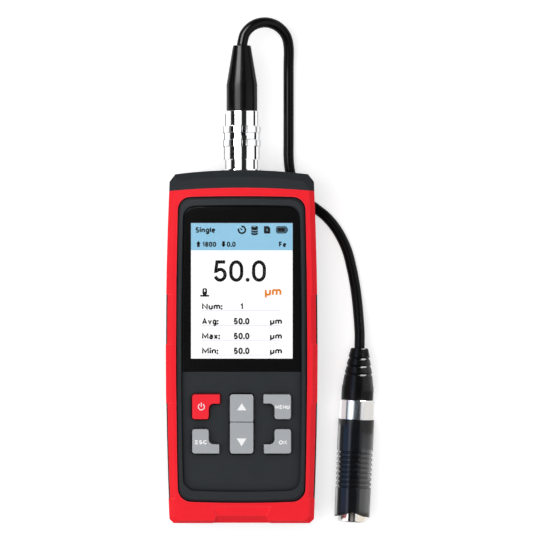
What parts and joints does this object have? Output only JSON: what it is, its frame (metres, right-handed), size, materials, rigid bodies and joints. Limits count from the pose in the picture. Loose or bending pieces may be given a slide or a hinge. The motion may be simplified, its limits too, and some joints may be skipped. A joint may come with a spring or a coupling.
{
  "type": "coating thickness gauge",
  "caption": "Handheld coating thickness gauge with a colour display, L-shaped keys, a two-part case with a grey end cap, and a corded probe on a push-pull plug.",
  "frame": {"origin": "on the back face, under the middle of the case", "axes": "+Z out of the screen, +Y from the keypad towards the socket, +X to the right of the screen"},
  "size_m": [0.0894, 0.2168, 0.0319],
  "materials": {
    "case_grey": "fine moulded texture",
    "cap_grey": "fine moulded texture",
    "case_red": "satin moulded",
    "panel_grey": "fine moulded texture",
    "window_black": "polished, printed black border",
    "lcd_glass": "polished",
    "steel": "plated",
    "board": "solder mask",
    "mat": "moulded silicone",
    "key_red": "satin silicone",
    "key_grey": "satin silicone",
    "cell_wrap": "printed wrap",
    "chrome": "polished plating",
    "insulator": "machined",
    "brass": "gold plated",
    "black_rubber": "moulded",
    "aluminium": "satin turned",
    "black_aluminium": "black anodised"
  },
  "bodies": {
    "gauge": {"rear_shell": "case_grey", "red_frame": "case_red", "top_cap": "cap_grey", "front_panel": "panel_grey", "display_window": "window_black", "display_glass": "lcd_glass", "display_module": "steel", "main_board": "board", "board_screws": "steel", "keypad_mat": "mat", "key_switches": "steel", "battery_door": "case_grey", "battery_door_screw": "steel", "battery_cells": "cell_wrap", "battery_springs": "steel", "battery_plates": "steel", "case_screws": "steel", "socket_shell": "chrome", "socket_nut": "chrome", "socket_insert": "insulator"},
    "power_key": {"power_key": "key_red"},
    "escape_key": {"escape_key": "key_grey"},
    "up_key": {"up_key": "key_grey"},
    "down_key": {"down_key": "key_grey"},
    "menu_key": {"menu_key": "key_grey"},
    "ok_key": {"ok_key": "key_grey"},
    "probe_lead": {"plug_shell": "chrome", "plug_insert": "insulator", "plug_pins": "brass", "plug_backnut": "chrome", "plug_boot": "black_rubber", "probe_cable": "black_rubber", "probe_boot": "black_rubber", "probe_spine": "aluminium", "probe_ring": "aluminium", "probe_barrel": "black_aluminium", "probe_spring": "steel"},
    "release_sleeve": {"plug_sleeve": "chrome"},
    "sensor_head": {"sensor_tip": "chrome", "sensor_pole": "steel"}
  },
  "joints": [
    {"name": "power_key_press", "type": "slide", "parent": "gauge", "child": "power_key", "axis": [0, 0, -1], "range_m": [0, 0.0008], "stiffness_N_per_m": 600},
    {"name": "escape_key_press", "type": "slide", "parent": "gauge", "child": "escape_key", "axis": [0, 0, -1], "range_m": [0, 0.0008], "stiffness_N_per_m": 600},
    {"name": "up_key_press", "type": "slide", "parent": "gauge", "child": "up_key", "axis": [0, 0, -1], "range_m": [0, 0.0008], "stiffness_N_per_m": 600},
    {"name": "down_key_press", "type": "slide", "parent": "gauge", "child": "down_key", "axis": [0, 0, -1], "range_m": [0, 0.0008], "stiffness_N_per_m": 600},
    {"name": "menu_key_press", "type": "slide", "parent": "gauge", "child": "menu_key", "axis": [0, 0, -1], "range_m": [0, 0.0008], "stiffness_N_per_m": 600},
    {"name": "ok_key_press", "type": "slide", "parent": "gauge", "child": "ok_key", "axis": [0, 0, -1], "range_m": [0, 0.0008], "stiffness_N_per_m": 600},
    {"name": "plug_pull", "type": "slide", "parent": "gauge", "child": "probe_lead", "axis": [0, 1, 0], "range_m": [0, 0.014]},
    {"name": "sleeve_release", "type": "slide", "parent": "probe_lead", "child": "release_sleeve", "axis": [0, 1, 0], "range_m": [0, 0.0014], "stiffness_N_per_m": 1500},
    {"name": "sensor_plunge", "type": "slide", "parent": "probe_lead", "child": "sensor_head", "axis": [0.0454, 0.999, 0], "range_m": [0, 0.0018], "stiffness_N_per_m": 800, "deforming": ["probe_spring"]}
  ]
}
